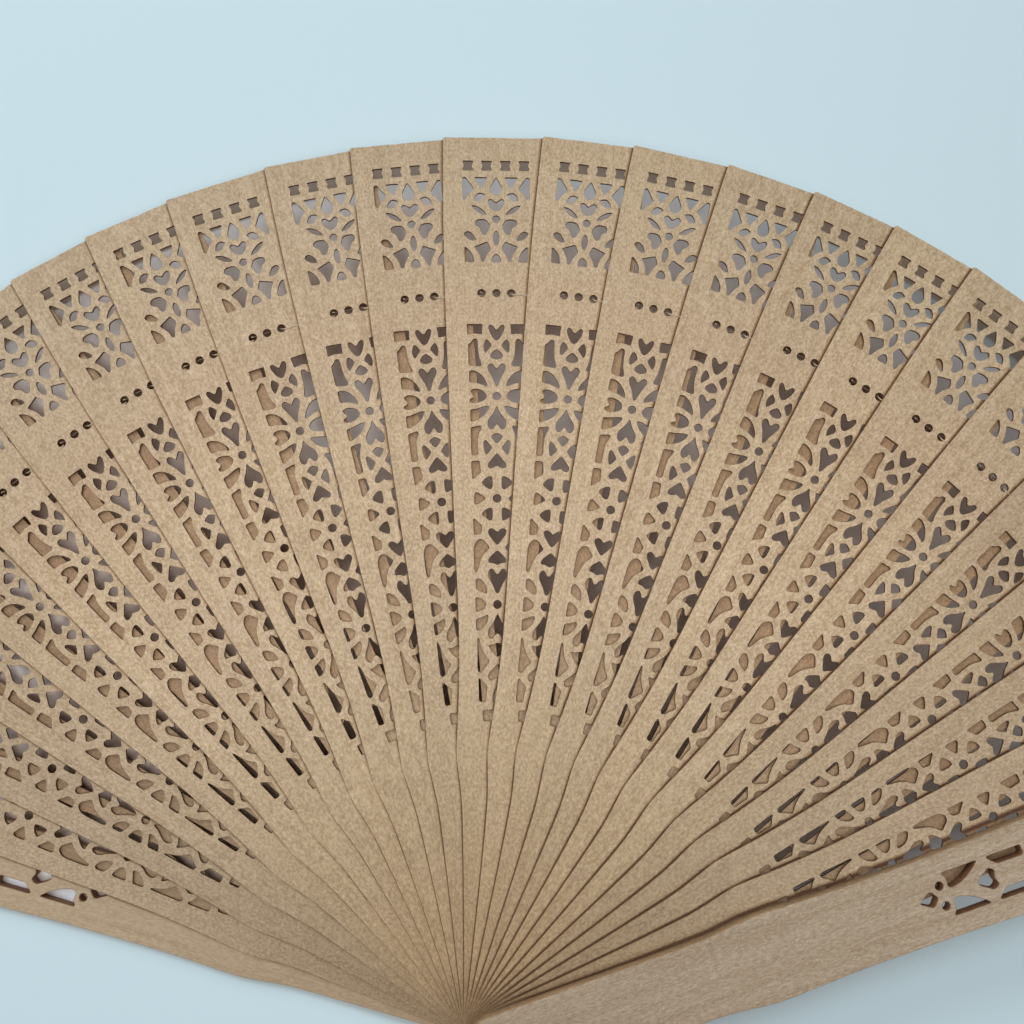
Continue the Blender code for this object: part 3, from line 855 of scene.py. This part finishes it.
def wood(name, colours, walls, mottle, patchy, flecks, fleck_grain, lines, grain):
    """Sawn sandalwood: mottled, with fine lines up the stick, short pale fibres, and walls
    darkened with painted shade.

    Light has paled it, so it is browner where the next stick covers it. Painted shadows darken it
    beside that stick's edge.
    """
    finish = new_finish(name)
    place = finish.kept("stick_place", 1)
    along = finish.add("SeparateXYZ", {}, {0: place}, output=1)
    stops = [(height / RAMP_LENGTH, tint(*colour)) for height, colour in colours]
    colour = finish.ramp(along * (1 / RAMP_LENGTH), stops)

    across_next = finish.add("SeparateXYZ", {}, {0: finish.kept("next_place", 1)})
    along_next = across_next.beside(1)
    grey_widths = [
        (height / RAMP_LENGTH, (half / WIDEST, half / WIDEST, half / WIDEST, 1.0))
        for height, half in BLADE_WIDTHS[::2]
    ]
    half_next = finish.ramp(along_next * (1 / RAMP_LENGTH), grey_widths) * WIDEST
    past_edge = across_next + half_next
    # Browner wood under the next stick, with painted shadow reaching just past its edge, a soft
    # painted shadow beside that edge and a thin line of painted contact shade.
    edge_shadow_share = finish.step(along, *EDGE_SHADOW_REACH)
    before_end = 1 - finish.step(past_edge, *EDGE_SHADOW_END)
    covered = finish.step(past_edge, *COVERED_AND_SHADOW_EDGE) * edge_shadow_share
    colour = finish.mix(covered, colour, tint(*COVERED_AND_SHADOW_TONE), "MULTIPLY")
    edge_shadow = finish.step(past_edge, *EDGE_SHADOW_EDGE) * edge_shadow_share * before_end
    colour = finish.mix(edge_shadow, colour, tint(*EDGE_SHADOW_TONE), "MULTIPLY")
    line = finish.step(past_edge, *CONTACT_SHADE_EDGE) * finish.step(along, *CONTACT_SHADE_REACH) * before_end
    colour = finish.mix(line, colour, tint(*CONTACT_SHADE_TONE), "MULTIPLY")

    speckle = finish.noise(place, grain, 2.0, SPECKLE_FINENESS)
    patches = finish.noise(place, PATCH_GRAIN, 2.0)
    fine_lines = finish.noise(place, LINE_GRAIN, 2.0)
    bands = finish.noise(place, BAND_GRAIN, 1.0)
    fleck = finish.step(finish.noise(place, fleck_grain, 1.0), *FLECK_STEP)
    uneven = (speckle - 0.5) * mottle + (patches - 0.5) * patchy + (fine_lines - 0.5) * lines
    uneven = uneven + (bands - 0.5) * lines + fleck * flecks
    dark_grain = 1 - finish.step(uneven, *DARK_GRAIN)
    colour = finish.mix(dark_grain, colour, tint(*DARK_GRAIN_TONE), "MULTIPLY")
    # Each stick's kept value is its own tone, with painted shade on the side blades.
    light = (uneven + 1.0) * finish.kept("stick_tone", 2)
    colour = finish.shade(colour, light)

    normal = finish.add("NewGeometry", {}, {}, output=1)
    rise = finish.add("SeparateXYZ", {}, {0: normal}, output=2)
    face = finish.step(finish.add("Math", {"operation": "ABSOLUTE"}, {0: rise}), *FACE_RISE)
    # Walls take their own darker colour and painted shade, by which way the surface faces.
    wall = finish.mix(finish.kept("outer_edge", 2), tint(*walls[0]), tint(*walls[1]))
    finish.give("Base Color", finish.mix(face, finish.shade(wall, light), colour))
    finish.bump((speckle + fine_lines) * 0.5, WOOD_BUMP, WOOD_RELIEF)
    finish.give("Roughness", WOOD_ROUGHNESS + (patches - 0.5) * WOOD_ROUGHNESS_SPREAD)
    return finish.owner


def brass():
    """Turned brass, dulled unevenly, with fine rings left by the lathe."""
    finish = new_finish("rivet_brass")
    place = finish.place(1 / MM)
    tarnish = finish.noise(place, TARNISH_GRAIN, 3.0)
    rings = {"wave_type": "RINGS", "rings_direction": "Z"}
    turned_rings = finish.add("TexWave", rings, {"Vector": place, "Scale": LATHE_RINGS}, output=1)
    finish.give("Metallic", 1.0)
    finish.give("Base Color", finish.mix(tarnish, tint(*BRASS), tint(*BRASS_TARNISH)))
    finish.give("Roughness", tarnish * TARNISH_ROUGHNESS + BRASS_ROUGHNESS)
    finish.bump(turned_rings, LATHE_BUMP, LATHE_RELIEF)
    return finish.owner


def nylon():
    """Thread of two plies, twisted. Behind the sticks it is painted darker, as shade."""
    finish = new_finish("thread_nylon")
    inputs = {"Vector": finish.place(1 / MM), "Scale": PLY_BANDS}
    plies = finish.add("TexWave", {"bands_direction": "DIAGONAL"}, inputs, output=1)
    behind = finish.mix(plies, *[tint(*colour) for colour in NYLON_SHADED_BEHIND])
    on_face = finish.mix(plies, *[tint(*colour) for colour in NYLON_ON_FACE])
    finish.give("Base Color", finish.mix(finish.kept("on_face", 2), behind, on_face))
    finish.give("Roughness", NYLON_ROUGHNESS)
    finish.bump(plies, PLY_BUMP, PLY_RELIEF)
    return finish.owner


def shades_of(seen, shades):
    """A ramp's stops: the paper's colour in its shades."""
    stops = []
    for share, shade in shades:
        colour = [part * plain for part, plain in zip(shade, tint(*seen))]
        stops.append((share, (*colour, 1.0)))
    return stops


def paper(seen, bounced):
    """The pale sheet that the fan lies on, with light and shade painted on it by how open the sky
    is.
    It throws a dimmer, warmer light back than it shows.
    """
    finish = new_finish("floor_paper")
    place = finish.place(1.0)
    side = finish.add("SeparateXYZ", {}, {0: place})
    ahead = side.beside(1)
    inputs = {"Distance": SKY_REACH}
    open_sky = finish.add("AmbientOcclusion", {"samples": SKY_RAYS}, inputs, output=1)
    # Light and shade painted on the paper by how much open sky is over it.
    shaded = finish.ramp(open_sky, shades_of(seen, PAPER_SHADE))
    back = ahead - side * SHADE_THROW_RISE - SHADE_THROW
    reach = finish.length(finish.add("CombineXYZ", {}, {0: side, 1: back}))
    clear = finish.step(ahead, *AHEAD_OF_GUARDS)
    # Painted shadows in two rings: under the rim and under the thread holes.
    for shades, rings in ((RIM_SHADE, RIM_SHADE_REACH), (HOLE_SHADE, HOLE_SHADE_REACH)):
        ring = finish.step(reach, *rings[:2]) * (1 - finish.step(reach, *rings[2:])) * clear
        shaded = finish.mix(ring, shaded, finish.ramp(open_sky, shades_of(seen, shades)))
    shown = finish.shown()
    colour = finish.mix(shown, tint(*bounced), shaded)
    far = finish.step(finish.length(place), *PAPER_FADE) * shown
    cloud = 1 + (finish.noise(place, CLOUD_GRAIN, 2.0) - 0.5) * CLOUD_DEPTH
    finish.give("Base Color", finish.shade(colour, cloud * (1 - far)))
    finish.give("Emission Color", finish.shade(tint(*seen), far))
    finish.give("Emission Strength", 1.0)
    finish.give("Roughness", PAPER_ROUGHNESS)
    finish.give("Specular IOR Level", 0.0)
    return finish.owner


def build_sticks(finishes):
    """Every stick in place of its solid."""
    openings = {"blade": blade_openings(), "guard": guard_openings()}
    bore = circle(0.0, 0.0, BORE_RADIUS)
    dice = Random(SEED)
    sticks = stick_names()
    turns = [turn_of(stick) for stick in sticks]
    steps = [following - turn for turn, following in zip(turns, turns[1:])] + [None]
    for node, turn, step in zip(sticks, turns, steps):
        kind = node.split("_")[0]
        widths, root_radius, edge = STICK_KINDS[kind]
        outline = stick_outline(widths, root_radius, dice)
        low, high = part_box(node)
        mesh = flat_mesh(node, [outline, bore] + openings[kind], high.z - low.z, edge)
        jump = Vector((dice.uniform(*JUMPS), 0.0, dice.uniform(*JUMPS)))
        keep_places(mesh, widths, jump, step)
        # Side blades are darkened by painted shade; every stick also differs a little at random.
        tone = painted_side_shade(turn) if kind == "blade" else 1.0
        tone += dice.uniform(-TONE_SPREAD, TONE_SPREAD)
        keep(mesh, "stick_tone", "FLOAT", [tone] * len(mesh.vertices))
        set_in_fan(mesh, node, turn)
        finish = finishes[kind] if kind in finishes else finishes[node]
        new_piece(node, "wood", mesh, finish, kind + "_wood")


def arc_run(radius, start, end, height, steps):
    """Points along an arc round the rivet, from one sideways place to another."""
    places = [start + (end - start) * step / steps for step in range(steps + 1)]
    return [(radius * sin(side / radius), radius * cos(side / radius), height) for side in places]


def thread_route(thickness, step, first):
    """A stretch of thread in its stick's own frame, in millimetres.

    It comes out of the first hole, runs behind the stick to the third, slants up through it
    and lies on the stick's face as far as the next stick's first hole.
    """
    height = thickness / 2 + GAP / 2
    reach = (HOLE_ROW - LANE) * step - HOLE_SPACING
    front = arc_run(HOLE_ROW - LANE, HOLE_SPACING + SLANT, reach, height, FACE_STEPS)
    if first:
        return arc_run(HOLE_ROW + LANE, HOLE_SPACING - SLANT, HOLE_SPACING, 0.0, 1)[:1] + front
    start = arc_run(HOLE_ROW + LANE, -HOLE_SPACING - SLANT, 0.0, 0.0, 1)[:1]
    behind = arc_run(
        HOLE_ROW + LANE, SLANT - HOLE_SPACING, HOLE_SPACING - SLANT, -height, BACK_STEPS
    )
    return start + behind + front


def thread_section():
    """The thread's flattened round section."""
    turns = [-2 * pi * side / SECTION_SIDES for side in range(SECTION_SIDES)]
    outline = [(THREAD_WIDTH / 2 * cos(turn), THREAD_HEIGHT / 2 * sin(turn)) for turn in turns]
    section = drawn("thread_section", "2D", [outline], True)
    section.data.fill_mode = "NONE"
    return section


def strand_mesh(name, route, section):
    """The thread's section drawn along its route, with its ends closed."""
    drawing = drawn(name, "3D", [route], False)
    curve = drawing.data
    curve.twist_mode = "Z_UP"
    curve.bevel_mode = "OBJECT"
    curve.bevel_object = section
    curve.use_fill_caps = True
    return made_mesh(drawing)


def build_threads(finish):
    """A stretch of thread on every stick but the last."""
    sticks = stick_names()
    section = thread_section()
    for index, (stick, following) in enumerate(zip(sticks, sticks[1:])):
        node = f"thread_{index:02d}"
        low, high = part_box(stick)
        turn = turn_of(stick)
        route = thread_route((high.z - low.z) / MM, turn_of(following) - turn, index == 0)
        mesh = strand_mesh(node, route, section)
        keep(mesh, "on_face", "FLOAT", [float(corner.co.z > 0) for corner in mesh.vertices])
        set_in_fan(mesh, stick, turn)
        piece = new_piece(node, "strand", mesh, finish, "thread_nylon")
        across = Vector((cos(turn), -sin(turn), 0.0))
        up = Vector((sin(turn), cos(turn), 0.0))
        third_hole = up * HOLE_ROW * MM + across * HOLE_SPACING * MM
        third_hole.z = high.z
        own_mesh(piece)
    bpy.data.objects.remove(section)


def turned(name, profile, closed):
    """A piece turned about the rivet's axis from its half section, in metres."""
    shape = bmesh.new()
    corners = [shape.verts.new((radius, 0.0, height)) for radius, height in profile]
    edges = [shape.edges.new(pair) for pair in zip(corners, corners[1:])]
    if closed:
        edges.append(shape.edges.new((corners[-1], corners[0])))
    bmesh.ops.spin(
        shape, geom=corners + edges, cent=(0.0, 0.0, 0.0), axis=(0.0, 0.0, 1.0),
        angle=2 * pi, steps=TURN_STEPS, use_merge=True,
    )
    mesh = bpy.data.meshes.new(name)
    shape.to_mesh(mesh)
    shape.free()
    for face in mesh.polygons:
        face.use_smooth = True
    return clean(mesh)


def eased_ring(inner, outer, low, high, ease):
    """The half section of a flat ring with eased corners."""
    return [
        (inner, low + ease), (inner, high - ease), (inner + ease, high), (outer - ease, high),
        (outer, high - ease), (outer, low + ease), (outer - ease, low), (inner + ease, low),
    ]


def build_rivet(finish):
    """The rivet, with its domed head above and its flat tail below, and its two washers."""
    ease = WASHER_EASE * MM
    for node in ("washer_front", "washer_back"):
        low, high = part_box(node)
        ring = eased_ring(BORE_RADIUS * MM, high.x, low.z, high.z, ease)
        new_piece(node, "turned", turned(node, ring, True), finish, "rivet_brass")
    low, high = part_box("rivet")
    head = high.x
    seat = high.z - HEAD_HEIGHT * MM
    pin = PIN_RADIUS * MM
    tail = TAIL_RADIUS * MM
    tail_top = TAIL_THICKNESS * MM
    section = []
    for step in range(HEAD_STEPS + 1):
        turn = pi / 2 * step / HEAD_STEPS
        rise = HEAD_RIM * MM + (HEAD_HEIGHT - HEAD_RIM) * MM * cos(turn)
        section.append((head * sin(turn), seat + rise))
    section += [
        (head, seat + ease), (head - ease, seat), (pin, seat), (pin, tail_top),
        (tail - ease, tail_top), (tail, tail_top - ease), (tail, low.z + ease),
        (tail - ease, low.z), (0.0, low.z),
    ]
    new_piece("rivet", "turned", turned("rivet", section, False), finish, "rivet_brass")


def make_floor(finish):
    shape = bmesh.new()
    bmesh.ops.create_grid(shape, x_segments=1, y_segments=1, size=FLOOR_HALF)
    mesh = bpy.data.meshes.new("floor")
    shape.to_mesh(mesh)
    shape.free()
    floor = bpy.data.objects.new("floor", mesh)
    floor.location.z = FLOOR_HEIGHT
    mesh.materials.append(finish)
    bpy.context.scene.collection.objects.link(floor)


def make_camera():
    data = bpy.data.cameras.new("camera")
    data.sensor_width = FILM_WIDTH
    data.lens = FOCAL_PIXELS / PICTURE_SIDE * FILM_WIDTH
    data.clip_start = NEAREST_SEEN
    camera = bpy.data.objects.new("camera", data)
    camera.location = CAMERA_PLACE
    camera.rotation_euler = CAMERA_TILT
    bpy.context.scene.collection.objects.link(camera)
    bpy.context.scene.camera = camera


def make_lamp(name, azimuth, height, distance, width, share, colour):
    """A round soft lamp that gives its share of the light on a level sheet at the middle."""
    side = radians(azimuth)
    rise = radians(height)
    away = Vector((cos(rise) * sin(side), cos(rise) * cos(side), sin(rise)))
    data = bpy.data.lights.new(name, "AREA")
    data.shape = "DISK"
    data.size = width
    data.energy = share * (pi * distance) ** 2 / sin(rise)
    data.color = colour
    lamp = bpy.data.objects.new(name, data)
    lamp.location = Vector(LIGHT_MIDDLE) + away * distance
    lamp.rotation_euler = away.to_track_quat("Z", "Y").to_euler()
    bpy.context.scene.collection.objects.link(lamp)


def light_world(colour, strength, seen):
    """A dim soft light from all round, which looks like the pale paper where it is seen."""
    room = Finish(bpy.data.worlds.new("soft_room"), "Background")
    room.give("Color", colour)
    room.give("Strength", strength)
    light = Wire(room, room.shader.outputs[0])
    backdrop = room.add("Background", {}, {"Color": tint(*seen), "Strength": 1.0})
    choice = room.add("MixShader", {}, {0: room.shown(), 1: light, 2: backdrop})
    room.feed(room.tree.nodes["World Output"].inputs["Surface"], choice)
    bpy.context.scene.world = room.owner


make_camera()
finishes = {
    "blade": wood(
        "blade_wood", BLADE_COLOURS, (WALL, BLADE_EDGE_WALL), mottle=1.15, patchy=0.38,
        flecks=0.3, fleck_grain=(3.6, 2.2, 2.0), lines=0.24, grain=(2.1, 1.3, 2.0)
    ),
    "guard_back": wood(
        "guard_back_wood", GUARD_BACK_COLOURS, (GUARD_WALL, GUARD_EDGE_WALL), mottle=0.6,
        patchy=0.12, flecks=0.1, fleck_grain=(3.6, 1.2, 2.0), lines=0.3, grain=(3.0, 0.9, 2.0)
    ),
    "guard_front": wood(
        "guard_front_wood", GUARD_FRONT_COLOURS, (GUARD_WALL, GUARD_EDGE_WALL), mottle=1.1,
        patchy=0.12, flecks=0.32, fleck_grain=(1.7, 3.6, 2.0), lines=0.45, grain=(3.2, 0.8, 2.0)
    ),
}
build_sticks(finishes)
build_threads(nylon())
build_rivet(brass())
make_floor(paper(PAPER, PAPER_BOUNCE))
for lamp in LAMPS:
    make_lamp(*lamp)
light_world(WORLD_COLOUR, WORLD_STRENGTH, PAPER)
bpy.context.scene.view_settings.view_transform = "Standard"
